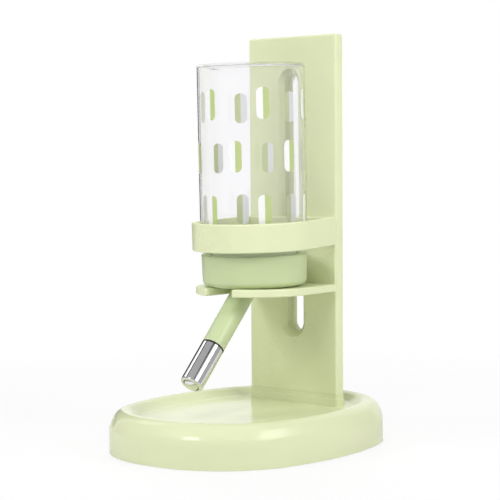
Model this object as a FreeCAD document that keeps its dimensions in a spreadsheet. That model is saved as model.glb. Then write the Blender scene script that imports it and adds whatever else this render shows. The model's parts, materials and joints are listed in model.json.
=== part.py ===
import FreeCAD, Part
import math
import os
import Sketcher

# Rabbit water bottle on a stand.  Millimetres and degrees, +Z up.  The origin is
# under the middle of the base, the spout points to -Y and the upright stands at +Y.
#
# Three frames are used:
#   stand frame   - the part's own frame
#   bottle frame  - origin under the cap, Z up the bottle, leaning forward
#   spout frame   - origin in the mouth of the steel tip, Z up the spout

Vec = FreeCAD.Vector

SIZES = {
    # joined features run this far into each other; edges a hand touches get this round
    "lap": 0.3,
    "edge_round": 0.8,
    # feet and the bosses that hold them
    "foot_proud": 0.5,
    "foot_radius": 5.2,
    "foot_thick": 2.0,
    "foot_round": 0.4,
    "foot_x": 38.0,
    "foot_y": 54.0,
    "foot_boss_radius": 6.8,
    "foot_boss_low": 1.0,
    # base tray: an oval shell, open underneath
    "base_half_width": 68.8,
    "base_half_length": 87.4,
    "base_side_radius": 168.0,
    "base_end_radius": 420.0,
    "base_corner_radius": 60.0,
    "shell_wall": 2.2,
    "rim_top": 25.1,
    "rim_shoulder": 16.0,
    "rim_shoulder_round": 13.0,
    "rim_crest_inset": 5.0,
    "rim_crest_round": 7.0,
    "rim_inner_inset": 11.5,
    "rim_inner_round": 6.5,
    "rim_hollow_inset": 1.4,
    "rim_hollow_round": 4.0,
    "rim_hollow_step": 0.8,
    "skirt_hollow_round": 8.0,
    "tray_floor": 20.5,
    "tray_inset": 18.5,
    "tray_round": 4.0,
    "tray_lap": 2.0,
    # socket in the tray that the upright stands in
    "seam": 27.95,
    "socket_half_width": 34.1,
    "socket_front": 0.35,
    "socket_back": 8.0,
    "socket_bottom": 3.0,
    "socket_floor": 6.0,
    "socket_round": 2.0,
    "socket_lip": 2.7,
    "socket_lip_step": 0.35,
    "socket_lip_round": 1.8,
    "socket_edge_round": 0.4,
    # upright: a channel plate with a slot and a collar behind the slot
    "plate_front": 43.2,
    "plate_half_width": 33.5,
    "plate_depth": 6.6,
    "plate_top": 244.8,
    "plate_wall": 2.4,
    "plate_edge_round": 1.5,
    "plate_top_round": 1.2,
    "tongue_half_width": 30.0,
    "tongue_front": 0.9,
    "tongue_back": 5.9,
    "tongue_room": 0.2,
    "slot_half_width": 6.15,
    "slot_step": 0.3,
    "slot_step_depth": 7.5,
    "slot_bevel": 3.18,
    "slot_low": 63.8,
    "slot_high": 222.3,
    "collar_wall": 2.3,
    "collar_depth": 12.4,
    "rib_thick": 1.6,
    "rib_depth": 5.4,
    "rib_pitch": 33.0,
    "rib_low": 48.0,
    "screw_x": 20.0,
    "screw_radius": 1.75,
    "screw_head_radius": 3.4,
    "screw_head": 1.8,
    "screw_length": 13.0,
    "screw_room": 0.2,
    "pilot_depth": 11.0,
    "drive_arm_half": 0.45,
    "drive_reach": 2.0,
    "drive_depth": 1.1,
    # holder: web, ring, notched shelf and a tongue that runs in the slot
    "holder_gap": 0.1,
    "web_thick": 1.6,
    "bottle_offset": 36.5,
    "ring_radius": 37.1,
    "ring_wall": 3.0,
    "ring_back": 2.3,
    "ring_low": 118.4,
    "ring_height": 16.7,
    "ring_tilt": 2.1,
    "shelf_top": 94.8,
    "shelf_thick": 4.5,
    "shelf_radius": 35.2,
    "notch_half_width": 9.0,
    "notch_end": 30.0,
    "notch_round": 6.0,
    "lobe_round": 1.5,
    "key_half_width": 5.65,
    "key_length": 12.2,
    "key_half_height": 15.0,
    "clamp_height": 113.0,
    # clamp behind the upright
    "bolt_radius": 2.95,
    "bolt_hole_radius": 3.0,
    "bolt_head_half": 4.9,
    "bolt_head_thick": 3.8,
    "bolt_head_room": 0.1,
    "bolt_length": 20.0,
    "bolt_chamfer": 0.6,
    "washer_half": 12.0,
    "washer_round": 3.0,
    "washer_thick": 1.5,
    "washer_hole": 3.2,
    "knob_radius": 14.0,
    "knob_thick": 12.0,
    "knob_hub": 2.0,
    "knob_hub_radius": 8.0,
    "knob_front_round": 1.0,
    "knob_back_round": 1.8,
    "knob_scallop_radius": 4.0,
    "knob_scallop_x": 15.2,
    "bolt_well": 9.2,
    "bolt_well_radius": 3.3,
    "insert_radius": 4.6,
    "insert_length": 8.0,
    "insert_bore": 3.0,
    # bottle: cap, gasket and glass, in the bottle frame
    "bottle_lean": 1.3,
    "rest_gap": 0.05,
    "cap_radius": 31.5,
    "cap_foot_radius": 30.9,
    "cap_height": 18.9,
    "cap_corner": 3.5,
    "cap_round": 0.8,
    "cap_floor": 2.6,
    "cap_bore": 28.6,
    "cap_thread_start": 6.0,
    "thread_pitch": 4.0,
    "thread_turns": 1.75,
    "thread_root": 1.6,
    "thread_crest": 0.9,
    "glass_thread_radius": 27.9,
    "glass_thread_start": 8.0,
    "cap_thread_radius": 27.0,
    "gasket_radius": 26.7,
    "gasket_bore": 21.5,
    "gasket_thick": 1.9,
    "glass_radius": 32.0,
    "glass_wall": 1.2,
    "glass_base": 1.6,
    "glass_height": 131.0,
    "glass_corner": 1.8,
    "glass_inner_corner": 1.0,
    "glass_inner_rise": 1.0,
    "neck_radius": 26.4,
    "neck_top": 21.4,
    "neck_lip_round": 0.7,
    "neck_round": 1.5,
    "neck_inner_round": 3.0,
    "shoulder_top": 28.0,
    "shoulder_round": 7.0,
    "shoulder_inner_round": 5.0,
    # spout, in the spout frame; it leans forward from the bottle's axis
    "spout_turn": 44.9,
    "spout_axis_y": -7.05,
    "spout_reach": 74.5,
    "spout_top": 88.0,
    "spout_joint": 27.1,
    "spout_room": 0.05,
    "spout_end_round": 0.5,
    "spout_low_radius": 6.85,
    "spout_high_radius": 6.95,
    "spout_taper_end": 62.0,
    "spout_bore": 4.2,
    "spout_socket": 5.75,
    "spout_socket_depth": 9.0,
    "boss_radius": 10.0,
    "boss_top": 85.4,
    "boss_start": 12.0,
    "boss_trim": 30.0,
    "ring_seal_height": 78.0,
    "ring_seal_section": 0.9,
    "tip_radius": 6.88,
    "tip_lip_round": 1.2,
    "tip_mouth": 4.8,
    "tip_mouth_round": 0.4,
    "tip_seat_round": 0.3,
    "tip_lip": 1.0,
    "tip_step": 2.0,
    "tip_bore": 5.8,
    "tip_sleeve_radius": 5.7,
    "tip_sleeve_bore": 4.9,
    "tip_sleeve": 8.0,
    "tip_seal_thick": 1.2,
    "tip_seal_radius": 6.9,
    "ball_radius": 5.35,
    "ball_height": 3.2,
    "spring_wire": 0.35,
    "spring_radius": 3.3,
    "spring_low": 8.5,
    "spring_turns": 5.0,
    "spring_pitch": 2.2,
    "retainer_low": 20.1,
    "retainer_thick": 1.6,
    "retainer_bore": 2.0,
}

RIBS = 6
KNOB_LOBES = 6
SIDES = (-1, 1)

doc = FreeCAD.newDocument("rabbit_water_bottle")
sheet = doc.addObject("Spreadsheet::Sheet", "Sizes")
for line, (alias, number) in enumerate(SIZES.items(), start=1):
    sheet.set(f"A{line}", alias.replace("_", " "))
    sheet.set(f"B{line}", str(number))
    sheet.setAlias(f"B{line}", alias)
doc.recompute()


class Size:
    """A number together with the sheet expression that it follows."""

    def __init__(self, number, text=None):
        self.number = float(number)
        self.text = text or repr(self.number)

    def joined(self, other, sign, number):
        return Size(number, f"({self.text} {sign} {other.text})")

    def __add__(self, other):
        other = as_size(other)
        return self.joined(other, "+", self.number + other.number)

    def __sub__(self, other):
        other = as_size(other)
        return self.joined(other, "-", self.number - other.number)

    def __mul__(self, other):
        other = as_size(other)
        return self.joined(other, "*", self.number * other.number)

    def __rsub__(self, other):
        return as_size(other) - self

    def __neg__(self):
        return Size(-self.number, f"(0 - {self.text})")

    __radd__ = __add__
    __rmul__ = __mul__


def as_size(value):
    return value if isinstance(value, Size) else Size(value)


def sine(angle):
    return Size(math.sin(math.radians(angle.number)), f"sin({angle.text} * 1 deg)")


def cosine(angle):
    return Size(math.cos(math.radians(angle.number)), f"cos({angle.text} * 1 deg)")


class Sheet:
    """The driving dimensions as attributes: d.cap_radius is a Size bound to its cell."""

    def __getattr__(self, alias):
        return Size(SIZES[alias], f"Sizes.{alias}")


d = Sheet()


def bind(thing, name, size):
    thing.setExpression(name, as_size(size).text)


# ---------------------------------------------------------------- bodies and sketches

def new_body(label):
    body = doc.addObject("PartDesign::Body", label)
    body.Label = label
    return body


def put(body, y=0, z=0, turn=0, forward=1):
    """Place a body in the plane x = 0; forward = 1 leans its Z to -Y, -1 to +Y."""
    body.Placement = FreeCAD.Placement(Vec(), FreeCAD.Rotation(Vec(forward, 0, 0), as_size(turn).number))
    bind(body, "Placement.Base.y", y)
    bind(body, "Placement.Base.z", z)
    if as_size(turn).number:
        bind(body, "Placement.Rotation.Angle", turn)
    return body


def sketch_on(body, plane, offset=0, tilt=0):
    """A sketch on one of the body's origin planes, lifted by offset along its normal."""
    sketch = body.newObject("Sketcher::SketchObject", f"{body.Label}_sketch")
    support = next(f for f in body.Origin.OriginFeatures if f.Role == f"{plane}_Plane")
    sketch.AttachmentSupport = [(support, "")]
    sketch.MapMode = "FlatFace"
    rotation = FreeCAD.Rotation(Vec(1, 0, 0), as_size(tilt).number)
    sketch.AttachmentOffset = FreeCAD.Placement(Vec(), rotation)
    bind(sketch, "AttachmentOffset.Base.z", offset)
    if as_size(tilt).number:
        bind(sketch, "AttachmentOffset.Rotation.Angle", tilt)
    return sketch


def hold(sketch, kind, *where, size=None):
    """Add a constraint; with a size, its value follows the sheet."""
    if size is None:
        return sketch.addConstraint(Sketcher.Constraint(kind, *where))
    size = as_size(size)
    index = sketch.addConstraint(Sketcher.Constraint(kind, *where, size.number))
    bind(sketch, f"Constraints[{index}]", size)
    return index


def pin(sketch, edge, end, x, y):
    """Fix a point of the sketch at (x, y) from the sketch's origin."""
    hold(sketch, "DistanceX", -1, 1, edge, end, size=x)
    hold(sketch, "DistanceY", -1, 1, edge, end, size=y)


def outline(sketch, corners):
    """A closed outline through corners (x, y) or (x, y, round)."""
    points = [Vec(as_size(c[0]).number, as_size(c[1]).number, 0) for c in corners]
    ends = points[1:] + points[:1]
    sides = [sketch.addGeometry(Part.LineSegment(a, b), False) for a, b in zip(points, ends)]
    for side, following in zip(sides, sides[1:] + sides[:1]):
        hold(sketch, "Coincident", side, 2, following, 1)
    for side, corner in zip(sides, corners):
        pin(sketch, side, 1, corner[0], corner[1])
    for before, corner in zip(sides[-1:] + sides[:-1], corners):
        if len(corner) == 3:
            radius = as_size(corner[2])
            sketch.fillet(before, 2, radius.number, True, True)
            # the fillet adds its arc and then a point that keeps the corner
            hold(sketch, "Radius", sketch.GeometryCount - 2, size=radius)


def box_outline(sketch, low_x, low_y, high_x, high_y, corner=None):
    extra = () if corner is None else (corner,)
    corners = [(low_x, low_y), (high_x, low_y), (high_x, high_y), (low_x, high_y)]
    outline(sketch, [c + extra for c in corners])


def circle(sketch, x, y, radius):
    radius = as_size(radius)
    centre = Vec(as_size(x).number, as_size(y).number, 0)
    edge = sketch.addGeometry(Part.Circle(centre, Vec(0, 0, 1), radius.number), False)
    hold(sketch, "Radius", edge, size=radius)
    pin(sketch, edge, 3, x, y)


def arc(sketch, x, y, radius, start, end):
    """An arc drawn from start to end, in radians; only its radius is bound here."""
    ring = Part.Circle(Vec(x, y, 0), Vec(0, 0, 1), radius.number)
    edge = sketch.addGeometry(Part.ArcOfCircle(ring, start, end), False)
    hold(sketch, "Radius", edge, size=radius)
    return edge


def obround(sketch, half_width, low, high):
    """An upright slot shape with round ends, from low to high."""
    low_centre = low + half_width
    high_centre = high - half_width
    wide = half_width.number
    bottom = arc(sketch, 0, low_centre.number, half_width, math.pi, 2 * math.pi)
    right = sketch.addGeometry(Part.LineSegment(
        Vec(wide, low_centre.number, 0), Vec(wide, high_centre.number, 0)), False)
    top = arc(sketch, 0, high_centre.number, half_width, 0, math.pi)
    left = sketch.addGeometry(Part.LineSegment(
        Vec(-wide, high_centre.number, 0), Vec(-wide, low_centre.number, 0)), False)
    chain = [bottom, right, top, left]
    for edge, following in zip(chain, chain[1:] + chain[:1]):
        hold(sketch, "Tangent", edge, 2, following, 1)
    pin(sketch, bottom, 3, 0, low_centre)
    pin(sketch, top, 3, 0, high_centre)


def horseshoe(sketch, half_width, back, centre_y, radius):
    """A round front whose straight arms reach back to x = +-half_width, y = back."""
    from_centre = Vec(half_width.number, as_size(back).number - centre_y.number, 0)
    touch = (math.atan2(from_centre.y, from_centre.x)
             - math.acos(radius.number / from_centre.Length))
    touch_x = radius.number * math.cos(touch)
    touch_y = centre_y.number + radius.number * math.sin(touch)
    back_y = as_size(back).number
    left = sketch.addGeometry(Part.LineSegment(
        Vec(-half_width.number, back_y, 0), Vec(-touch_x, touch_y, 0)), False)
    front = arc(sketch, 0, centre_y.number, radius, math.pi - touch, 2 * math.pi + touch)
    right = sketch.addGeometry(Part.LineSegment(
        Vec(touch_x, touch_y, 0), Vec(half_width.number, back_y, 0)), False)
    across = sketch.addGeometry(Part.LineSegment(
        Vec(half_width.number, back_y, 0), Vec(-half_width.number, back_y, 0)), False)
    hold(sketch, "Tangent", left, 2, front, 1)
    hold(sketch, "Tangent", front, 2, right, 1)
    hold(sketch, "Coincident", right, 2, across, 1)
    hold(sketch, "Coincident", across, 2, left, 1)
    pin(sketch, front, 3, 0, centre_y)
    pin(sketch, left, 1, -half_width, back)
    pin(sketch, right, 2, half_width, back)


def oval(sketch, inset=0):
    """The base's oval of eight tangent arcs, moved inward by inset."""
    side_x = (d.base_half_width - d.base_side_radius).number
    end_y = (d.base_half_length - d.base_end_radius).number
    # a corner arc touches both a side arc and an end arc from inside
    to_side = (d.base_side_radius - d.base_corner_radius).number
    to_end = (d.base_end_radius - d.base_corner_radius).number
    apart = math.hypot(side_x, end_y)
    along = (to_side**2 - to_end**2 + apart**2) / (2 * apart)
    aside = math.sqrt(to_side**2 - along**2)
    unit_x, unit_y = -side_x / apart, end_y / apart
    corner_x = side_x + along * unit_x - aside * unit_y
    corner_y = along * unit_y + aside * unit_x
    side_angle = math.atan2(corner_y, corner_x - side_x)
    end_angle = math.atan2(corner_y - end_y, corner_x)
    quarter = math.pi / 2

    side_radius = d.base_side_radius - inset
    end_radius = d.base_end_radius - inset
    corner_radius = d.base_corner_radius - inset
    east = arc(sketch, side_x, 0, side_radius, -side_angle, side_angle)
    north_east = arc(sketch, corner_x, corner_y, corner_radius, side_angle, end_angle)
    north = arc(sketch, 0, end_y, end_radius, end_angle, 2 * quarter - end_angle)
    north_west = arc(sketch, -corner_x, corner_y, corner_radius,
                     2 * quarter - end_angle, 2 * quarter - side_angle)
    west = arc(sketch, -side_x, 0, side_radius, 2 * quarter - side_angle, 2 * quarter + side_angle)
    south_west = arc(sketch, -corner_x, -corner_y, corner_radius,
                     2 * quarter + side_angle, 2 * quarter + end_angle)
    south = arc(sketch, 0, -end_y, end_radius, 2 * quarter + end_angle, 4 * quarter - end_angle)
    south_east = arc(sketch, corner_x, -corner_y, corner_radius,
                     4 * quarter - end_angle, 4 * quarter - side_angle)
    chain = [east, north_east, north, north_west, west, south_west, south, south_east]
    for edge, following in zip(chain, chain[1:] + chain[:1]):
        hold(sketch, "Tangent", edge, 2, following, 1)
    pin(sketch, east, 3, d.base_half_width - d.base_side_radius, 0)
    pin(sketch, west, 3, d.base_side_radius - d.base_half_width, 0)
    pin(sketch, north, 3, 0, d.base_half_length - d.base_end_radius)
    pin(sketch, south, 3, 0, d.base_end_radius - d.base_half_length)


# ------------------------------------------------------------------------- features

def settle(body, feature, adds):
    """Recompute, and check that the feature really added or took material."""
    before = body.Shape.Volume if body.Shape.Solids else 0.0
    doc.recompute()
    change = body.Shape.Volume - before
    if (change <= 0) if adds else (change >= 0):
        raise RuntimeError(f"{feature.Label} changed the volume by {change:.1f}")
    if not body.Shape.isValid():
        raise RuntimeError(f"{feature.Label} is not a sound shape")
    return feature


def pad(body, sketch, length, backwards=False):
    feature = body.newObject("PartDesign::Pad", f"{body.Label}_pad")
    feature.Profile = sketch
    feature.Reversed = backwards
    bind(feature, "Length", length)
    return settle(body, feature, adds=True)


def pocket(body, sketch, length, backwards=False):
    """Cut against the sketch's normal, or along it when backwards."""
    feature = body.newObject("PartDesign::Pocket", f"{body.Label}_pocket")
    feature.Profile = sketch
    feature.Reversed = backwards
    bind(feature, "Length", length)
    return settle(body, feature, adds=False)


def revolve(body, sketch):
    """Turn a sketch in XZ once about the body's Z axis."""
    feature = body.newObject("PartDesign::Revolution", f"{body.Label}_turn")
    feature.Profile = sketch
    feature.ReferenceAxis = (sketch, ["V_Axis"])
    feature.Angle = 360
    settle(body, feature, adds=True)


def turned(label, corners):
    """A body turned about its Z axis from corners (radius, height) or with a round."""
    body = new_body(label)
    sketch = sketch_on(body, "XZ")
    outline(sketch, corners)
    revolve(body, sketch)
    return body


def helix(body, sketch, pitch, turns):
    """Sweep a sketch up a right-handed helix about the body's Z axis."""
    feature = body.newObject("PartDesign::AdditiveHelix", f"{body.Label}_helix")
    feature.Profile = sketch
    feature.ReferenceAxis = (sketch, ["V_Axis"])
    feature.Mode = "pitch-turns-angle"
    feature.Reversed = False
    bind(feature, "Pitch", pitch)
    bind(feature, "Turns", turns)
    return settle(body, feature, adds=True)


def soften(body, radius, chosen, kind="Fillet"):
    """Fillet or chamfer the edges of the body that chosen(edge) picks."""
    base = body.Tip
    names = [f"Edge{i}" for i, edge in enumerate(base.Shape.Edges, start=1) if chosen(edge)]
    if not names:
        raise RuntimeError(f"no edge to soften on {body.Label}")
    feature = body.newObject(f"PartDesign::{kind}", f"{body.Label}_{kind.lower()}")
    feature.Base = (base, names)
    bind(feature, "Size" if kind == "Chamfer" else "Radius", radius)
    return settle(body, feature, adds=False)


def near(value, size, slack=0.01):
    return abs(value - as_size(size).number) < slack


def level(edge, height, tilt=0):
    """True for an edge in the plane at height, tilted about the X axis."""
    angle = math.radians(as_size(tilt).number)
    normal = Vec(0, -math.sin(angle), math.cos(angle))
    points = [edge.valueAt(at) for at in (edge.FirstParameter, edge.LastParameter)]
    points.append(edge.CenterOfMass)
    return all(near(point.dot(normal), height) for point in points)


# ---------------------------------------------------------------------------- stand

def foot_places():
    return [(x * d.foot_x, y * d.foot_y) for x in SIDES for y in SIDES]


def tongue_middle():
    """How far the middle of the upright's tongue lies behind its front face."""
    return (d.tongue_front + d.tongue_back) * 0.5


def make_base_tray():
    """Oval tray: rolled rim, shallow floor, and a socket for the upright."""
    body = new_body("base_tray")
    path = sketch_on(body, "XY")
    oval(path)
    section = sketch_on(body, "XZ")
    edge = d.base_half_width
    wall = d.shell_wall
    step = d.rim_hollow_step
    inner_floor = d.tray_floor - wall
    outline(section, [
        (edge, d.foot_proud),
        (edge, d.rim_shoulder, d.rim_shoulder_round),
        (edge - d.rim_crest_inset, d.rim_top, d.rim_crest_round),
        (edge - d.rim_inner_inset, d.rim_top, d.rim_inner_round),
        (edge - d.tray_inset, d.tray_floor, d.tray_round),
        (edge - d.tray_inset - d.tray_lap, d.tray_floor),
        (edge - d.tray_inset - d.tray_lap, inner_floor),
        (edge - d.tray_inset + step, inner_floor),
        (edge - d.rim_inner_inset + step, d.rim_top - wall, d.rim_hollow_round),
        (edge - d.rim_crest_inset - d.rim_hollow_inset, d.rim_top - wall, d.rim_hollow_round),
        (edge - wall, d.rim_shoulder - step, d.skirt_hollow_round),
        (edge - wall, d.foot_proud),
    ])
    rim = body.newObject("PartDesign::AdditivePipe", "base_tray_rim")
    rim.Profile = section
    rim.Spine = (path, [])
    settle(body, rim, adds=True)

    floor = sketch_on(body, "XY", inner_floor)
    oval(floor, d.tray_inset + d.tray_lap * 0.5)
    pad(body, floor, wall)

    front = d.plate_front - d.socket_front
    back = d.plate_front + d.socket_back
    socket = sketch_on(body, "XY", d.socket_bottom)
    box_outline(socket, -d.socket_half_width, front, d.socket_half_width, back, d.socket_round)
    pad(body, socket, d.seam - d.socket_lip - d.socket_bottom)
    soften(body, d.socket_edge_round, lambda edge: level(edge, d.seam - d.socket_lip))
    lip = sketch_on(body, "XY", d.seam - d.socket_lip - d.lap)
    inset = d.socket_lip_step
    box_outline(lip, -d.socket_half_width + inset, front + inset,
                d.socket_half_width - inset, back - inset, d.socket_lip_round)
    pad(body, lip, d.socket_lip + d.lap)
    soften(body, d.socket_edge_round, lambda edge: level(edge, d.seam))
    well = sketch_on(body, "XY", d.seam)
    room = d.tongue_room
    box_outline(well, -d.tongue_half_width - room, d.plate_front + d.tongue_front - room,
                d.tongue_half_width + room, d.plate_front + d.tongue_back + room)
    pocket(body, well, d.seam - d.socket_floor)
    screws = sketch_on(body, "XY", d.socket_floor)
    for side in SIDES:
        circle(screws, side * d.screw_x, d.plate_front + tongue_middle(),
               d.screw_radius + d.screw_room)
    pocket(body, screws, d.socket_floor - d.socket_bottom)

    bosses = sketch_on(body, "XY", d.foot_boss_low)
    pads = sketch_on(body, "XY", d.foot_boss_low)
    for x, y in foot_places():
        circle(bosses, x, y, d.foot_boss_radius)
        circle(pads, x, y, d.foot_radius)
    pad(body, bosses, inner_floor + d.lap - d.foot_boss_low)
    pocket(body, pads, d.foot_thick - d.foot_boss_low, backwards=True)


def make_base_feet():
    """Four rubber pads that stand a little proud of the skirt."""
    body = new_body("base_feet")
    body.AllowCompound = True
    sketch = sketch_on(body, "XY")
    for x, y in foot_places():
        circle(sketch, x, y, d.foot_radius)
    pad(body, sketch, d.foot_thick)
    soften(body, d.foot_round, lambda edge: level(edge, 0))


def make_upright():
    """Channel plate: front wall, flanges, ribs, and a bevelled slot with a collar."""
    body = put(new_body("upright"), y=d.plate_front)
    half = d.plate_half_width
    wall = d.plate_wall
    channel = sketch_on(body, "XY", d.seam)
    outline(channel, [
        (-half, 0, d.plate_edge_round), (half, 0, d.plate_edge_round),
        (half, d.plate_depth), (half - wall, d.plate_depth),
        (half - wall, wall), (wall - half, wall),
        (wall - half, d.plate_depth), (-half, d.plate_depth),
    ])
    pad(body, channel, d.plate_top - d.seam)
    for height in (d.plate_top - wall, d.seam):
        end = sketch_on(body, "XY", height)
        box_outline(end, d.lap - half, wall - d.lap, half - d.lap, d.plate_depth)
        pad(body, end, wall)
    tongue_low = d.socket_floor + d.tongue_room
    tongue = sketch_on(body, "XY", tongue_low)
    box_outline(tongue, -d.tongue_half_width, d.tongue_front, d.tongue_half_width, d.tongue_back)
    pad(body, tongue, d.seam + d.lap - tongue_low)

    # upright sketches in XZ have their normal towards -Y, so "backwards" is to the rear
    collar = sketch_on(body, "XZ", d.lap - wall)
    obround(collar, d.slot_half_width + d.collar_wall,
            d.slot_low - d.collar_wall, d.slot_high + d.collar_wall)
    pad(body, collar, d.collar_depth - wall + d.lap, backwards=True)
    rib = sketch_on(body, "XZ", d.lap - wall)
    box_outline(rib, d.lap - half, d.rib_low, half - d.lap, d.rib_low + d.rib_thick)
    first = pad(body, rib, d.rib_depth - wall + d.lap, backwards=True)
    ribs = body.newObject("PartDesign::LinearPattern", "upright_ribs")
    ribs.Originals = [first]
    ribs.Direction = (rib, ["V_Axis"])
    ribs.Occurrences = RIBS
    bind(ribs, "Length", (RIBS - 1) * d.rib_pitch)
    body.Tip = ribs
    settle(body, ribs, adds=True)

    slot = sketch_on(body, "XZ")
    obround(slot, d.slot_half_width, d.slot_low, d.slot_high)
    pocket(body, slot, d.slot_step_depth)
    narrow = sketch_on(body, "XZ")
    step = d.slot_step
    obround(narrow, d.slot_half_width - step, d.slot_low + step, d.slot_high - step)
    pocket(body, narrow, d.collar_depth + d.lap)
    slot_reach = (d.slot_half_width + d.lap).number
    soften(body, d.slot_bevel, kind="Chamfer", chosen=lambda edge: (
        near(edge.BoundBox.YMin, 0) and near(edge.BoundBox.YMax, 0)
        and edge.BoundBox.XMax < slot_reach and edge.BoundBox.XMin > -slot_reach))
    soften(body, d.plate_top_round, lambda edge: (
        level(edge, d.plate_top) and near(edge.BoundBox.YMax, 0)))

    pilots = sketch_on(body, "XY", tongue_low)
    for side in SIDES:
        circle(pilots, side * d.screw_x, tongue_middle(), d.screw_radius)
    pocket(body, pilots, d.pilot_depth, backwards=True)


def make_upright_screws():
    """Two screws from below, through the socket's floor into the upright."""
    y = d.plate_front + tongue_middle()
    body = new_body("upright_screws")
    body.AllowCompound = True
    heads = sketch_on(body, "XY", d.socket_bottom - d.screw_head)
    shanks = sketch_on(body, "XY", d.socket_bottom - d.lap)
    drives = sketch_on(body, "XY", d.socket_bottom - d.screw_head)
    for side in SIDES:
        x = side * d.screw_x
        circle(heads, x, y, d.screw_head_radius)
        circle(shanks, x, y, d.screw_radius)
        cross(drives, x, y)
    pad(body, heads, d.screw_head)
    pad(body, shanks, d.screw_length)
    pocket(body, drives, d.drive_depth, backwards=True)


def cross(sketch, x, y):
    """A cross-shaped drive around (x, y)."""
    arm = d.drive_arm_half
    reach = d.drive_reach
    corners = [
        (arm, arm), (arm, reach), (-arm, reach), (-arm, arm), (-reach, arm), (-reach, -arm),
        (-arm, -arm), (-arm, -reach), (arm, -reach), (arm, -arm), (reach, -arm), (reach, arm),
    ]
    outline(sketch, [(x + across, y + along) for across, along in corners])


# --------------------------------------------------------------------------- holder

def make_holder_bracket():
    """Tilted ring and level notched shelf on a web, with a key that runs in the slot."""
    body = put(new_body("holder_bracket"), y=d.plate_front - d.holder_gap)
    # the ring and the shelf are apart until the web joins them
    body.AllowCompound = True
    half = d.plate_half_width
    wall = d.ring_wall
    centre = -d.bottle_offset + d.holder_gap
    shelf_low = d.shelf_top - d.shelf_thick

    ring = sketch_on(body, "XY", d.ring_low, tilt=d.ring_tilt)
    horseshoe(ring, half, 0, centre, d.ring_radius)
    pad(body, ring, d.ring_height)
    inside = sketch_on(body, "XY", d.ring_low, tilt=d.ring_tilt)
    horseshoe(inside, half - wall, -d.ring_back, centre, d.ring_radius - wall)
    pocket(body, inside, d.ring_height, backwards=True)
    ring_low = d.ring_low * cosine(d.ring_tilt)
    soften(body, d.edge_round, lambda edge: (
        (level(edge, ring_low, d.ring_tilt) or level(edge, ring_low + d.ring_height, d.ring_tilt))
        and edge.BoundBox.YMin < -d.ring_back.number - d.lap.number))

    shelf = sketch_on(body, "XY", shelf_low)
    horseshoe(shelf, half, -d.lap, centre, d.shelf_radius)
    pad(body, shelf, d.shelf_thick)
    notch = sketch_on(body, "XY", d.shelf_top)
    box_outline(notch, -d.notch_half_width, centre - d.shelf_radius * 2,
                d.notch_half_width, -d.notch_end, d.notch_round)
    pocket(body, notch, d.shelf_thick)
    lobe_tip = centre.number - math.sqrt(d.shelf_radius.number**2 - d.notch_half_width.number**2)
    soften(body, d.lobe_round, lambda edge: (
        near(edge.BoundBox.ZLength, d.shelf_thick) and near(edge.BoundBox.YMax, lobe_tip)))
    soften(body, d.edge_round, lambda edge: (
        (level(edge, d.shelf_top) or level(edge, shelf_low))
        and edge.BoundBox.YMin < -d.lap.number * 2))

    web = sketch_on(body, "XY", shelf_low)
    box_outline(web, -half, -d.web_thick, half, 0)
    pad(body, web, d.ring_low + d.ring_height - shelf_low)

    key = sketch_on(body, "XZ")
    obround(key, d.key_half_width, d.clamp_height - d.key_half_height,
            d.clamp_height + d.key_half_height)
    pad(body, key, d.key_length, backwards=True)
    bolt_hole = sketch_on(body, "XZ")
    circle(bolt_hole, 0, d.clamp_height, d.bolt_hole_radius)
    pocket(body, bolt_hole, d.key_length)
    seat = sketch_on(body, "XZ", d.web_thick)
    hexagon(seat, d.clamp_height, d.bolt_head_half + d.bolt_head_room)
    pocket(body, seat, d.bolt_head_thick)


def hexagon(sketch, centre_y, half_across):
    """A hexagon with its flats at x = +-half_across."""
    corner = half_across * (2 / math.sqrt(3))
    half_side = corner * 0.5
    outline(sketch, [
        (half_across, centre_y - half_side), (half_across, centre_y + half_side),
        (0, centre_y + corner), (-half_across, centre_y + half_side),
        (-half_across, centre_y - half_side), (0, centre_y - corner),
    ])


def on_clamp(body, from_face):
    """Turn a body's Z to +Y on the clamp's axis, from_face behind the plate's face."""
    return put(body, y=d.plate_front + from_face, z=d.clamp_height, turn=90, forward=-1)


def make_clamp_bolt():
    body = new_body("clamp_bolt")
    on_clamp(body, -d.holder_gap - d.web_thick)
    head = sketch_on(body, "XY")
    hexagon(head, 0, d.bolt_head_half)
    pad(body, head, d.bolt_head_thick)
    shaft = sketch_on(body, "XY", d.bolt_head_thick)
    circle(shaft, 0, 0, d.bolt_radius)
    pad(body, shaft, d.bolt_length)
    soften(body, d.bolt_chamfer, kind="Chamfer", chosen=lambda edge: (
        level(edge, d.bolt_head_thick + d.bolt_length)))


def washer_face():
    """The washer's front face, just behind the slot's collar."""
    return d.collar_depth + d.holder_gap


def make_clamp_washer():
    body = new_body("clamp_washer")
    on_clamp(body, washer_face())
    plate = sketch_on(body, "XY")
    half = d.washer_half
    box_outline(plate, -half, -half, half, half, d.washer_round)
    circle(plate, 0, 0, d.washer_hole)
    pad(body, plate, d.washer_thick)


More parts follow.
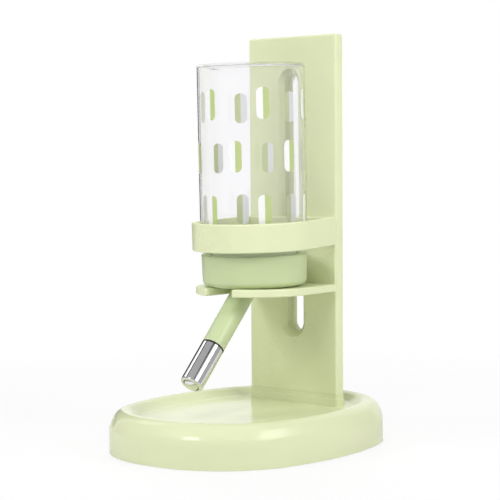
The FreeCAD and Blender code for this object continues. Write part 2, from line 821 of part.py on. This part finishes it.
def make_clamp_knob():
    """Lobed hand knob, open to the front for its threaded insert."""
    radius = d.knob_radius
    thick = d.knob_thick
    body = turned("clamp_knob", [
        (d.insert_radius, 0), (d.knob_hub_radius, 0), (d.knob_hub_radius, d.knob_hub),
        (radius, d.knob_hub, d.knob_front_round), (radius, thick, d.knob_back_round),
        (0, thick), (0, d.bolt_well), (d.bolt_well_radius, d.bolt_well),
        (d.bolt_well_radius, d.insert_length), (d.insert_radius, d.insert_length),
    ])
    on_clamp(body, washer_face() + d.washer_thick + d.holder_gap)
    scallop = sketch_on(body, "XY", thick)
    circle(scallop, d.knob_scallop_x, 0, d.knob_scallop_radius)
    first = pocket(body, scallop, thick)
    lobes = body.newObject("PartDesign::PolarPattern", "clamp_knob_lobes")
    lobes.Originals = [first]
    lobes.Axis = (scallop, ["N_Axis"])
    lobes.Angle = 360
    lobes.Occurrences = KNOB_LOBES
    body.Tip = lobes
    settle(body, lobes, adds=False)


def make_knob_insert():
    body = turned("knob_insert", [
        (d.insert_bore, 0), (d.insert_radius, 0),
        (d.insert_radius, d.insert_length), (d.insert_bore, d.insert_length),
    ])
    on_clamp(body, washer_face() + d.washer_thick + d.holder_gap)


# --------------------------------------------------------------------------- bottle

def bottle_foot():
    """Height of the bottle frame: the leaning cap rests on its front edge."""
    return d.shelf_top + d.rest_gap + (d.cap_foot_radius - d.cap_corner) * sine(d.bottle_lean)


def on_bottle(body):
    """Put a body in the bottle frame."""
    return put(body, y=d.plate_front - d.bottle_offset, z=bottle_foot(), turn=d.bottle_lean)


def thread(body, root_radius, crest_radius, start):
    """One helical ridge between two radii, starting at height start."""
    sketch = sketch_on(body, "XZ")
    root = d.thread_root * 0.5
    crest = d.thread_crest * 0.5
    outline(sketch, [
        (root_radius, start - root), (crest_radius, start - crest),
        (crest_radius, start + crest), (root_radius, start + root),
    ])
    helix(body, sketch, d.thread_pitch, d.thread_turns)


def make_screw_cap():
    """Cup-shaped cap with a slanted boss inside for the spout."""
    body = turned("screw_cap", [
        (0, 0), (d.cap_foot_radius, 0, d.cap_corner), (d.cap_radius, d.cap_height, d.cap_round),
        (d.cap_bore, d.cap_height), (d.cap_bore, d.cap_floor, d.cap_round), (0, d.cap_floor),
    ])
    on_bottle(body)
    boss_length = d.boss_top - d.spout_reach + d.boss_start
    slanted(body, "Additive", d.boss_radius, boss_length, -d.boss_start)
    trim = sketch_on(body, "XY")
    circle(trim, 0, 0, d.cap_radius)
    pocket(body, trim, d.boss_trim)
    slanted(body, "Subtractive", d.spout_high_radius + d.spout_room, d.boss_trim * 2, -d.boss_trim)
    thread(body, d.cap_bore + d.lap, d.cap_thread_radius, d.cap_thread_start)


def slanted(body, kind, radius, length, start):
    """Add or cut a cylinder on the spout's axis, start being measured from the cap's face."""
    feature = body.newObject(f"PartDesign::{kind}Cylinder", f"{body.Label}_slanted")
    turn_angle = d.spout_turn
    feature.Placement = FreeCAD.Placement(Vec(), FreeCAD.Rotation(Vec(-1, 0, 0), turn_angle.number))
    bind(feature, "Placement.Rotation.Angle", turn_angle)
    bind(feature, "Placement.Base.y", d.spout_axis_y + start * sine(turn_angle))
    bind(feature, "Placement.Base.z", start * cosine(turn_angle))
    bind(feature, "Radius", radius)
    bind(feature, "Height", length)
    return settle(body, feature, adds=kind == "Additive")


def make_cap_gasket():
    low = d.cap_floor
    high = low + d.gasket_thick
    on_bottle(turned("cap_gasket", [
        (d.gasket_bore, low), (d.gasket_radius, low),
        (d.gasket_radius, high), (d.gasket_bore, high),
    ]))


def make_glass_bottle():
    """Inverted glass jar: threaded neck down, closed end up."""
    mouth = d.cap_floor + d.gasket_thick
    rise = d.glass_inner_rise
    wall = d.glass_wall
    top = d.glass_height
    body = turned("glass_bottle", [
        (d.neck_radius - wall, mouth), (d.neck_radius, mouth, d.neck_lip_round),
        (d.neck_radius, d.neck_top, d.neck_round),
        (d.glass_radius, d.shoulder_top, d.shoulder_round),
        (d.glass_radius, top, d.glass_corner), (0, top), (0, top - d.glass_base),
        (d.glass_radius - wall, top - d.glass_base, d.glass_inner_corner),
        (d.glass_radius - wall, d.shoulder_top + rise, d.shoulder_inner_round),
        (d.neck_radius - wall, d.neck_top + rise, d.neck_inner_round),
    ])
    on_bottle(body)
    thread(body, d.neck_radius - d.lap, d.glass_thread_radius, d.glass_thread_start)


# ---------------------------------------------------------------------------- spout

def on_spout(body):
    """Put a body in the spout frame, whose Z runs up the spout into the cap."""
    lean = d.bottle_lean
    slope = d.spout_turn - lean
    y = d.plate_front - d.bottle_offset + d.spout_axis_y * cosine(lean)
    z = bottle_foot() + d.spout_axis_y * sine(lean)
    return put(body, y=y - d.spout_reach * sine(slope), z=z - d.spout_reach * cosine(slope),
               turn=slope, forward=-1)


def make_spout_tube():
    """Plastic tube that carries the steel tip; a groove holds its ring seal."""
    low = d.spout_joint + d.tip_seal_thick
    groove = d.ring_seal_section
    depth = d.spout_socket_depth
    thick = d.spout_high_radius
    seal = d.ring_seal_height
    on_spout(turned("spout_tube", [
        (d.spout_socket, low), (d.spout_low_radius, low),
        (thick, d.spout_taper_end), (thick, seal - groove),
        (thick - 2 * groove, seal - groove), (thick - 2 * groove, seal + groove),
        (thick, seal + groove), (thick, d.spout_top, d.spout_end_round),
        (d.spout_bore, d.spout_top),
        (d.spout_bore, low + depth), (d.spout_socket, low + depth),
    ]))


def make_spout_ring_seal():
    body = new_body("spout_ring_seal")
    on_spout(body)
    sketch = sketch_on(body, "XZ")
    circle(sketch, d.spout_high_radius + d.spout_room - d.ring_seal_section,
           d.ring_seal_height, d.ring_seal_section)
    revolve(body, sketch)


def make_steel_tip():
    """Steel sleeve: rolled mouth below, reduced sleeve pressed into the tube above."""
    top = d.spout_joint
    lip = d.tip_lip
    on_spout(turned("steel_tip", [
        (d.tip_mouth, 0, d.tip_mouth_round), (d.tip_radius, 0, d.tip_lip_round),
        (d.tip_radius, top), (d.tip_sleeve_radius, top),
        (d.tip_sleeve_radius, top + d.tip_sleeve), (d.tip_sleeve_bore, top + d.tip_sleeve),
        (d.tip_sleeve_bore, top - d.tip_step), (d.tip_bore, top - d.tip_step),
        (d.tip_bore, lip), (d.tip_mouth, lip, d.tip_seat_round),
    ]))


def make_tip_seal():
    """Thin rubber ring between the tube's end and the tip's shoulder."""
    low = d.spout_joint
    high = low + d.tip_seal_thick
    on_spout(turned("tip_seal", [
        (d.tip_sleeve_radius, low), (d.tip_seal_radius, low),
        (d.tip_seal_radius, high), (d.tip_sleeve_radius, high),
    ]))


def make_lick_ball():
    body = new_body("lick_ball")
    on_spout(body)
    ball = body.newObject("PartDesign::AdditiveSphere", "lick_ball_sphere")
    bind(ball, "Placement.Base.z", d.ball_height)
    bind(ball, "Radius", d.ball_radius)
    settle(body, ball, adds=True)


def make_valve_spring():
    """Light spring that holds the ball on the mouth's seat."""
    body = new_body("valve_spring")
    on_spout(body)
    sketch = sketch_on(body, "XZ")
    circle(sketch, d.spring_radius, d.spring_low, d.spring_wire)
    helix(body, sketch, d.spring_pitch, d.spring_turns)


def make_spring_retainer():
    """Flanged disc with a bore for the water; it stops the spring's upper end."""
    low = d.retainer_low
    body = turned("spring_retainer", [
        (d.retainer_bore, low), (d.tip_bore, low), (d.tip_bore, low + d.retainer_thick),
        (d.retainer_bore, low + d.retainer_thick),
    ])
    on_spout(body)


# ----------------------------------------------------------------------- the whole

PIECES = [
    make_base_tray, make_base_feet, make_upright, make_upright_screws,
    make_holder_bracket, make_clamp_bolt, make_clamp_washer, make_clamp_knob,
    make_knob_insert, make_screw_cap, make_cap_gasket, make_glass_bottle,
    make_spout_tube, make_spout_ring_seal, make_steel_tip, make_tip_seal,
    make_lick_ball, make_valve_spring, make_spring_retainer,
]


def check(body):
    shape = body.Shape
    if shape.isNull() or not shape.isValid() or not shape.Solids:
        raise RuntimeError(f"{body.Label} has no sound shape")
    print(f"{body.Label:16s} solids {len(shape.Solids)}  volume {shape.Volume / 1000:8.2f} cm3")


for make_piece in PIECES:
    make_piece()
doc.recompute()
for item in doc.Objects:
    if {"Invalid", "Error"} & set(item.State):
        raise RuntimeError(f"{item.Label} failed: {item.State}")
bodies = [item for item in doc.Objects if item.TypeId == "PartDesign::Body"]
for body in bodies:
    check(body)
os.makedirs("parts", exist_ok=True)
for body in bodies:
    body.Shape.exportStep(f"parts/{body.Label}.step")
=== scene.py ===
"""Rabbit water bottle on a stand: the looks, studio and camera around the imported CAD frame."""
import json
import math

import bmesh
import bpy
from mathutils import Matrix, Vector


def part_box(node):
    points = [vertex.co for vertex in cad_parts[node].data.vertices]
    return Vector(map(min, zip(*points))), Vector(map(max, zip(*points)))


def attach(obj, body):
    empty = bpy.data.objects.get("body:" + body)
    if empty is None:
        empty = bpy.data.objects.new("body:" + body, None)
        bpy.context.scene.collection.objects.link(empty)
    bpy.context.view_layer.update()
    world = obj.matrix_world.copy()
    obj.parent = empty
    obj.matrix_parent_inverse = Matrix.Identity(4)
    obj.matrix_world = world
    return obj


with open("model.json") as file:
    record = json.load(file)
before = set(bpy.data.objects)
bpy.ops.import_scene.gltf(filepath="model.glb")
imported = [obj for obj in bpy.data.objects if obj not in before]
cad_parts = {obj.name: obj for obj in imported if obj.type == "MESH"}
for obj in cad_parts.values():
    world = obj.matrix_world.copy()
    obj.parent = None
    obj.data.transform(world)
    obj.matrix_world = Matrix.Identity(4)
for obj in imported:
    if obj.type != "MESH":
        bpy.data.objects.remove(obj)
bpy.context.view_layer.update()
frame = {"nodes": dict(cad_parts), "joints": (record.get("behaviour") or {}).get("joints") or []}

MM = 0.001
MICRON = 0.000001
WHITE = (1, 1, 1, 1)
NODES = frame["nodes"]
JOINTS = {joint["name"]: joint for joint in frame["joints"]}
scene = bpy.context.scene


# ------------------------------------------------------------------ node helpers

class Tree:
    """A node tree, with short ways to add nodes and to feed their sockets."""

    def __init__(self, tree):
        self.tree = tree

    def node(self, kind, inputs=None, **settings):
        """Add a node, with its settings made and its inputs fed."""
        made = self.tree.nodes.new(f"ShaderNode{kind}")
        for name, value in settings.items():
            setattr(made, name, value)
        for name, value in (inputs or {}).items():
            self.feed(made.inputs[name], value)
        return made

    def feed(self, socket, value):
        """Link a socket to another socket, or set it to a plain value."""
        if isinstance(value, bpy.types.NodeSocket):
            self.tree.links.new(value, socket)
        else:
            socket.default_value = value

    def compute(self, operation, first, second):
        """One step of arithmetic on two values."""
        return self.node("Math", {0: first, 1: second}, operation=operation).outputs["Value"]


class Shader(Tree):
    """A material with a Principled shader, and the patterns that drive its sockets."""

    def __init__(self, name, **sockets):
        self.material = bpy.data.materials.new(name)
        self.material.use_nodes = True
        super().__init__(self.material.node_tree)
        self.principled = self.tree.nodes["Principled BSDF"]
        self.place = self.node("TexCoord").outputs["Object"]
        for socket, value in sockets.items():
            self.principled.inputs[socket.replace("_", " ")].default_value = value

    def drive(self, socket, value):
        self.feed(self.principled.inputs[socket], value)

    def show(self, shader, output="Surface"):
        """Make a shader the material's own, as its surface or its volume."""
        self.feed(self.tree.nodes["Material Output"].inputs[output], shader)

    def noise(self, size, detail=2.0, where=None):
        """Noise whose largest blobs are about size metres across."""
        made = self.node("TexNoise", {
            "Vector": where or self.place, "Scale": 1 / size, "Detail": detail})
        return made.outputs["Fac"]

    def spread(self, value, low, high, start=0.3, end=0.7):
        """Map a value from start..end to low..high."""
        made = self.node("MapRange", {
            "Value": value, "From Min": start, "From Max": end, "To Min": low, "To Max": high})
        return made.outputs["Result"]

    def tones(self, value, low, high):
        """Blend between two colours."""
        made = self.node("Mix", data_type="RGBA")
        self.feed(made.inputs["Factor"], value)
        self.feed(made.inputs["A"], (*low, 1) if isinstance(low, tuple) else low)
        self.feed(made.inputs["B"], (*high, 1) if isinstance(high, tuple) else high)
        return made.outputs["Result"]

    def bump(self, height, depth, before=None):
        """A bump whose full height is depth metres, on top of the bump before it."""
        made = self.node("Bump", {"Height": height, "Distance": depth, "Strength": 1.0})
        if before is not None:
            self.feed(made.inputs["Normal"], before)
        return made.outputs["Normal"]

    def mix(self, value, first, second):
        """Blend between two shaders."""
        return self.node("MixShader", {0: value, 1: first, 2: second}).outputs["Shader"]


def scaled(colour, factor):
    """A colour made lighter or darker, up to white."""
    return tuple(min(1.0, part * factor) for part in colour)


# --------------------------------------------------------------------- materials

PLASTIC_SCATTER = 0.08
SCATTER_REACH = (1.8 * MM, 2.2 * MM, 1.0 * MM)


def moulded_plastic(name, colour, roughness, flow=0.0, grain=4 * MICRON):
    """Injection-moulded plastic: a slow drift of tone and gloss, a fine mould grain and, with
    flow, the shallow waviness that a flat wall has."""
    made = Shader(name, IOR=1.49, Subsurface_Weight=PLASTIC_SCATTER, Subsurface_Scale=1.0)
    made.principled.inputs["Subsurface Radius"].default_value = SCATTER_REACH
    drift = made.noise(45 * MM, detail=3)
    specks = made.noise(0.7 * MM)
    tone = made.tones(made.spread(drift, 0, 1), scaled(colour, 0.985), scaled(colour, 1.01))
    tone = made.tones(made.spread(specks, 0, 0.15, 0.64, 0.76), tone, scaled(colour, 0.88))
    made.drive("Base Color", tone)
    slow_gloss = made.spread(drift, roughness - 0.025, roughness + 0.035)
    fine_gloss = made.spread(specks, -0.01, 0.015)
    made.drive("Roughness", made.compute("ADD", slow_gloss, fine_gloss))
    normal = made.bump(made.noise(0.45 * MM), grain)
    if flow:
        normal = made.bump(made.noise(22 * MM, detail=1), flow, normal)
    made.drive("Normal", normal)
    return made.material


def print_ink(name, colour):
    """Fired screen-print ink: satin and very slightly uneven."""
    made = Shader(name, IOR=1.5)
    cover = made.noise(1.6 * MM, detail=3)
    made.drive("Base Color", made.tones(made.spread(cover, 0, 1), scaled(colour, 0.95), colour))
    made.drive("Roughness", made.spread(cover, 0.30, 0.42))
    made.drive("Normal", made.bump(made.noise(0.5 * MM), 5 * MICRON))
    return made.material


GLASS_DULL, GLASS_BRIGHT = (0.982, 0.980, 0.990), (0.994, 0.992, 0.998)
GLASS_SHADOW = (0.98, 0.98, 0.985, 1)
WALL_TINT, WALL_DENSITY = (0.70, 0.74, 0.72, 1), 16.0
RIM_DEPTH, RIM_BLEND = 2.4 * MM, 0.4 * MM
RIM_ALPHA = 0.2


def clear_glass(name, top):
    """Pressed soda-lime glass that lets lamps through and darkens where a ray runs along its wall.
    Its last RIM_DEPTH below top is mostly see-through, or the closed end is a thick dark line."""
    made = Shader(name, IOR=1.5, Transmission_Weight=1.0)
    cloud = made.noise(30 * MM, detail=1)
    made.drive("Base Color", made.tones(made.spread(cloud, 0, 1), GLASS_DULL, GLASS_BRIGHT))
    made.drive("Roughness", made.spread(made.noise(12 * MM, detail=3), 0.0, 0.008))
    made.drive("Normal", made.bump(cloud, 2 * MICRON))
    body = made.node("VolumeAbsorption", {"Color": WALL_TINT, "Density": WALL_DENSITY})
    made.show(body.outputs["Volume"], "Volume")
    height = made.node("SeparateXYZ", {"Vector": made.place}).outputs["Z"]
    rim = top - RIM_DEPTH
    made.drive("Alpha", made.spread(height, 1.0, RIM_ALPHA, rim - RIM_BLEND, rim + RIM_BLEND))
    shadow = made.node("LightPath").outputs["Is Shadow Ray"]
    clear = made.node("BsdfTransparent", {"Color": GLASS_SHADOW}).outputs["BSDF"]
    made.show(made.mix(shadow, made.principled.outputs["BSDF"], clear))
    return made.material


MARKS_SIZE = 2.4 * MM
ALONG_Z, ALONG_Y = (1, 1, 12), (1, 12, 1)


def metal(name, colour, roughness, marks=3 * MICRON, turn=0.0, squeeze=ALONG_Z, painted_shade_gap=0.0):
    """Metal with fine tool marks across the squeezed axis, whose frame is turned about X.
    Its colour is painted darker in gaps narrower than the given width, a painted shade."""
    made = Shader(name, Metallic=1.0)
    turned = made.node("Mapping", {"Vector": made.place, "Rotation": (turn, 0, 0)})
    squeezed = made.node("Mapping", {"Vector": turned.outputs["Vector"], "Scale": squeeze})
    lines = made.noise(MARKS_SIZE, detail=4, where=squeezed.outputs["Vector"])
    cloud = made.noise(8 * MM, detail=3)
    tone = made.tones(made.spread(cloud, 0, 1), scaled(colour, 0.94), colour)
    # painted shade: ambient occlusion darkens the colour in narrow gaps
    if painted_shade_gap:
        painted_shade_openness = made.node("AmbientOcclusion", {"Distance": painted_shade_gap}, samples=8).outputs["AO"]
        tone = made.tones(made.spread(painted_shade_openness, 0, 1, 0.35, 0.8), scaled(colour, 0.06), tone)
    made.drive("Base Color", tone)
    slow_gloss = made.spread(cloud, roughness * 0.8, roughness * 1.25)
    fine_gloss = made.spread(lines, 0, roughness * 0.4)
    made.drive("Roughness", made.compute("ADD", slow_gloss, fine_gloss))
    made.drive("Normal", made.bump(lines, marks))
    return made.material


def rubber(name, colour):
    """Matte rubber with a fine talc bloom."""
    made = Shader(name, IOR=1.52)
    bloom = made.noise(4 * MM, detail=4)
    made.drive("Base Color", made.tones(made.spread(bloom, 0, 1), colour, scaled(colour, 1.35)))
    made.drive("Roughness", made.spread(bloom, 0.62, 0.8))
    made.drive("Normal", made.bump(made.noise(0.3 * MM, detail=3), 12 * MICRON))
    return made.material


SPOUT_TURN = math.atan2(JOINTS["ball_push"]["axis"][1], JOINTS["ball_push"]["axis"][2])
# the widest gap in the steel tip and ball that gets painted shade
TIP_PAINTED_SHADE_GAP = 1.5 * MM

PALE_GREEN = (0.708, 0.750, 0.480)
# the base is the upright's green painted 4.5 % darker, a painted shade on the lower part of the
# stand
BASE_GREEN_PAINTED_SHADE = scaled(PALE_GREEN, 0.955)
CAP_GREEN = (0.515, 0.600, 0.340)
# the back inks, on the faces against the glass, are lighter copies of the inks: painted light for
# the light the print gets through the glass
WHITE_INK, WHITE_INK_BACK_PAINTED_LIGHT = (0.86, 0.86, 0.86), (0.88, 0.89, 0.87)
GREEN_INK, GREEN_INK_BACK_PAINTED_LIGHT = (0.480, 0.570, 0.245), (0.620, 0.700, 0.350)

stand_plastic = moulded_plastic("stand_plastic", PALE_GREEN, 0.28, flow=8 * MICRON)
base_plastic = moulded_plastic("base_plastic", BASE_GREEN_PAINTED_SHADE, 0.13, grain=0.6 * MICRON)
cap_plastic = moulded_plastic("cap_plastic", CAP_GREEN, 0.32)
glass = clear_glass("bottle_glass", top=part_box("glass_bottle")[1].z)
tip_steel = metal("tip_steel", (0.80, 0.80, 0.81), 0.055, marks=0.8 * MICRON, turn=SPOUT_TURN,
                  painted_shade_gap=TIP_PAINTED_SHADE_GAP)
wire_steel = metal("spring_steel", (0.62, 0.62, 0.63), 0.22)
zinc_steel = metal("screw_steel", (0.66, 0.67, 0.70), 0.28, squeeze=ALONG_Y)
brass = metal("brass", (0.80, 0.62, 0.30), 0.24, squeeze=ALONG_Y)
black_rubber = rubber("black_rubber", (0.018, 0.018, 0.018))
grey_rubber = rubber("seal_rubber", (0.09, 0.095, 0.09))
ink_white = print_ink("ink_white", WHITE_INK)
ink_white_back_painted_light = print_ink("ink_white_back_painted_light", WHITE_INK_BACK_PAINTED_LIGHT)
ink_green = print_ink("ink_green", GREEN_INK)
ink_green_back_painted_light = print_ink("ink_green_back_painted_light", GREEN_INK_BACK_PAINTED_LIGHT)

FINISH = {
    "base_tray": base_plastic, "upright": stand_plastic, "holder_bracket": stand_plastic,
    "clamp_knob": stand_plastic, "screw_cap": cap_plastic, "spout_tube": cap_plastic,
    "spring_retainer": cap_plastic, "glass_bottle": glass, "steel_tip": tip_steel,
    "lick_ball": tip_steel, "valve_spring": wire_steel, "upright_screws": zinc_steel,
    "clamp_bolt": zinc_steel, "clamp_washer": zinc_steel, "knob_insert": brass,
    "base_feet": black_rubber, "tip_seal": black_rubber, "cap_gasket": grey_rubber,
    "spout_ring_seal": grey_rubber,
}
for name, material in FINISH.items():
    for material_slot in NODES[name].material_slots:
        material_slot.material = material


# ----------------------------------------------------------------- printed dashes

DASH_HEIGHT = 18.2 * MM
DASH_HALF = 3.85 * MM
DASH_CORNER = 3.2 * MM
DASH_COLUMNS = 14
DASHES_A_ROW = 6
# each row's height up the bottle, and the angle of its first dash in degrees
DASH_ROWS = ((107.2 * MM, -38.8), (76.8 * MM, -8.8), (45.4 * MM, -38.8))
# the print sits a little askew on the glass, highest on one side
PRINT_TILT = math.tan(math.radians(1.6))
PRINT_HIGH_SIDE = math.radians(-50.8)
INK_LOW, INK_HIGH = 4 * MICRON, 50 * MICRON
# the back ink's place among a dash's materials; the back ink is painted lighter, a painted light
# for what reaches the print through the glass
BACK = 1


def new_object(name, mesh, *materials):
    """An object in the scene from a bmesh, which is used up."""
    data = bpy.data.meshes.new(name)
    mesh.to_mesh(data)
    mesh.free()
    for material in materials:
        data.materials.append(material)
    made = bpy.data.objects.new(name, data)
    scene.collection.objects.link(made)
    return made


def bottle_matrix():
    """The bottle's own frame: Z up its leaning axis, X kept, origin at its joint."""
    joint = JOINTS["bottle_turn"]
    up = Vector(joint["axis"]).normalized()
    across = Vector((1, 0, 0))
    matrix = Matrix((across, up.cross(across), up)).transposed().to_4x4()
    matrix.translation = Vector(joint["pos_m"])
    return matrix


def dash_half(mesh, height, angle, side, radius):
    """One half of a dash, as a thin shell on the glass; side is -1 or 1."""
    columns = []
    height -= PRINT_TILT * radius * (1 - math.cos(angle - PRINT_HIGH_SIDE))
    for step in range(DASH_COLUMNS + 1):
        across = DASH_HALF * math.sin(math.pi / 2 * step / DASH_COLUMNS)
        into_corner = max(0.0, across - (DASH_HALF - DASH_CORNER))
        reach = DASH_HEIGHT / 2 - DASH_CORNER + math.sqrt(max(0.0, DASH_CORNER**2 - into_corner**2))
        turn = angle + side * across / radius
        column = []
        for r in (radius + INK_LOW, radius + INK_HIGH):
            for z in (height - reach, height + reach):
                column.append(mesh.verts.new((r * math.cos(turn), r * math.sin(turn), z)))
        columns.append(column)
    for column, following in zip(columns, columns[1:]):
        in_low, in_high, out_low, out_high = column
        next_in_low, next_in_high, next_out_low, next_out_high = following
        mesh.faces.new((out_low, out_high, next_out_high, next_out_low))
        mesh.faces.new((in_low, next_in_low, next_in_high, in_high)).material_index = BACK
        mesh.faces.new((in_high, next_in_high, next_out_high, out_high))
        mesh.faces.new((in_low, out_low, next_out_low, next_in_low))
    for in_low, in_high, out_low, out_high in (columns[0], columns[-1]):
        mesh.faces.new((in_low, in_high, out_high, out_low))


def dashes(name, side, front_ink, back_ink_painted_light):
    """One colour of the print: the same half of every dash, in a front ink and a back ink that is
    painted lighter, as painted light.
    """
    mesh = bmesh.new()
    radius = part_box("glass_bottle")[1].x
    for height, first in DASH_ROWS:
        for number in range(DASHES_A_ROW):
            dash_half(mesh, height, math.radians(first + 360 / DASHES_A_ROW * number), side, radius)
    mesh.transform(bottle_matrix())
    bmesh.ops.recalc_face_normals(mesh, faces=mesh.faces)
    piece = new_object(name, mesh, front_ink, back_ink_painted_light)
    piece.visible_shadow = False
    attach(piece, "glass")


dashes("print_white", -1, ink_white, ink_white_back_painted_light)
dashes("print_green", 1, ink_green, ink_green_back_painted_light)


# ------------------------------------------------------------------------ studio

FLOOR_WHITE = (0.80, 0.80, 0.80, 1)
FLOOR_KEPT = 0.16
FLOOR_FADE_START, FLOOR_FADE_END = 100 * MM, 170 * MM
FLOOR_DROP = 0.02 * MM
STUDIO_MIDDLE = Vector((0, 0, 110 * MM))
VIEW_TURN = math.radians(39.21)


def face(made, direction, front):
    """Turn an object so that its front axis looks along direction."""
    made.rotation_mode = "QUATERNION"
    made.rotation_quaternion = Vector(direction).to_track_quat(front, "Y")


def plane(name, size, location, facing, material):
    """A rectangle centred at location whose front faces along facing."""
    mesh = bmesh.new()
    bmesh.ops.create_grid(mesh, x_segments=1, y_segments=1, size=0.5)
    made = new_object(name, mesh, material)
    made.scale = (*size, 1)
    made.location = location
    face(made, facing, "Z")
    return made


def floor_material():
    """White floor; the camera sees a sixth of its shading near the part and plain white beyond.
    Only direct rays are whitened, so from a raised view the floor is grey where glass shows it."""
    made = Shader("floor", Roughness=0.6, IOR=1.3)
    made.drive("Base Color", FLOOR_WHITE)
    reach = made.node("VectorMath", {0: made.place}, operation="LENGTH").outputs["Value"]
    whiter = made.spread(reach, 1 - FLOOR_KEPT, 1, FLOOR_FADE_START, FLOOR_FADE_END)
    in_view = made.node("LightPath").outputs["Is Camera Ray"]
    white = made.node("Emission", {"Color": WHITE, "Strength": 1.0}).outputs["Emission"]
    lift = made.compute("MULTIPLY", in_view, whiter)
    made.show(made.mix(lift, made.principled.outputs["BSDF"], white))
    return made.material


def glow(name, strength):
    """A surface that gives an even white light."""
    made = Shader(name)
    made.show(made.node("Emission", {"Color": WHITE, "Strength": strength}).outputs["Emission"])
    return made.material


def round_the_part(azimuth, elevation, distance):
    """A place around the part: azimuth 0 is the camera's side, and more is to its right."""
    across = VIEW_TURN + math.radians(azimuth)
    climb = math.radians(elevation)
    level = math.cos(climb)
    toward = Vector((math.sin(across) * level, -math.cos(across) * level, math.sin(climb)))
    return STUDIO_MIDDLE + toward * distance


def soft_box(name, azimuth, elevation, size, power, distance=1.1):
    """A rectangular lamp aimed at the part, which no camera, reflection or glass shows."""
    data = bpy.data.lights.new(name, "AREA")
    data.shape = "RECTANGLE"
    data.size, data.size_y = size
    data.energy = power
    made = bpy.data.objects.new(name, data)
    made.location = round_the_part(azimuth, elevation, distance)
    face(made, STUDIO_MIDDLE - made.location, "-Z")
    made.visible_camera = False
    made.visible_glossy = False
    made.visible_transmission = False
    scene.collection.objects.link(made)


def card(name, azimuth, elevation, size, strength, distance=1.1, in_glass=False):
    """A card that only reflections see, or only rays through glass. At strength 0 it is black."""
    place = round_the_part(azimuth, elevation, distance)
    made = plane(name, size, place, STUDIO_MIDDLE - place, glow(f"{name}_glow", strength))
    made.visible_camera = False
    made.visible_shadow = False
    made.visible_diffuse = False
    made.visible_glossy = not in_glass
    made.visible_transmission = in_glass


def studio_world(seen, mirrored, cast):
    """An even sky of three strengths: what the camera sees, what gloss mirrors and what lights.
    Light that reaches the part by refraction is left out, since the glass passes it as shadow."""
    made = bpy.data.worlds.new("studio")
    made.use_nodes = True
    sky = Tree(made.node_tree)
    path = sky.node("LightPath").outputs
    refracted = path["Is Transmission Ray"]
    unlit = sky.compute("LESS_THAN", path["Diffuse Depth"], 0.5)
    through = sky.compute("MULTIPLY", refracted, unlit)
    in_view = sky.compute("MAXIMUM", path["Is Camera Ray"], through)
    shining = sky.compute("MULTIPLY", sky.compute("SUBTRACT", 1.0, refracted), cast)
    mirror = sky.compute("MULTIPLY", path["Is Glossy Ray"], mirrored)
    unseen = sky.compute("MAXIMUM", mirror, shining)
    strength = sky.compute("MAXIMUM", sky.compute("MULTIPLY", in_view, seen), unseen)
    background = made.node_tree.nodes["Background"]
    sky.feed(background.inputs["Color"], WHITE)
    sky.feed(background.inputs["Strength"], strength)
    scene.world = made


plane("floor", (3, 3), (0, 0, -FLOOR_DROP), (0, 0, 1), floor_material())
studio_world(seen=1.0, mirrored=0.48, cast=0.30)

soft_box("right_box", azimuth=55, elevation=29, size=(0.50, 0.50), power=6.2)
soft_box("left_box", azimuth=-68, elevation=30, size=(0.40, 0.40), power=4.9)
soft_box("front_box", azimuth=-15, elevation=50, size=(0.50, 0.50), power=4.6)
soft_box("back_box", azimuth=180, elevation=40, size=(0.60, 0.50), power=3.6)

card("right_shine", azimuth=60, elevation=30, size=(0.72, 0.36), strength=3.4)
card("left_shine", azimuth=-40, elevation=27, size=(0.30, 0.20), strength=9.0)
card("edge_shine", azimuth=-120, elevation=42, size=(0.20, 0.20), strength=2.4)
card("left_flag", azimuth=-108, elevation=50, size=(0.17, 0.17), strength=0.05, distance=1.05)
card("right_flag", azimuth=29, elevation=52, size=(0.17, 0.17), strength=0.05, distance=1.05)
card("backdrop", azimuth=180, elevation=22, size=(3.4, 1.9), strength=1.0, distance=1.7)
card("edge_flag", azimuth=-152, elevation=16, size=(0.46, 0.70), strength=0.0, distance=0.9)
card("glass_flag", azimuth=-161, elevation=8, size=(0.10, 0.70), strength=0.0, distance=0.9,
     in_glass=True)


# ------------------------------------------------------------------------ camera

CAMERA_PLACE = Vector((595.84, -728.03, 167.0)) * MM
CAMERA_AIM = Vector((-8.91, 13.2, 115.53)) * MM
CAMERA_ROLL = math.radians(-0.36)
SENSOR_WIDTH, FOCAL_LENGTH = 36.0, 114.43


def place_camera():
    """The camera, at CAMERA_PLACE, aimed at CAMERA_AIM and rolled about its line of sight."""
    lens = bpy.data.cameras.new("camera")
    lens.sensor_width = SENSOR_WIDTH
    lens.lens = FOCAL_LENGTH
    ahead = (CAMERA_AIM - CAMERA_PLACE).normalized()
    right = ahead.cross(Vector((0, 0, 1))).normalized()
    upward = right.cross(ahead)
    rolled_right = right * math.cos(CAMERA_ROLL) + upward * math.sin(CAMERA_ROLL)
    rolled_up = upward * math.cos(CAMERA_ROLL) - right * math.sin(CAMERA_ROLL)
    pose = Matrix((rolled_right, rolled_up, -ahead)).transposed().to_4x4()
    pose.translation = CAMERA_PLACE
    camera = bpy.data.objects.new("camera", lens)
    camera.matrix_world = pose
    scene.collection.objects.link(camera)
    scene.camera = camera


place_camera()
scene.view_settings.view_transform = "Standard"
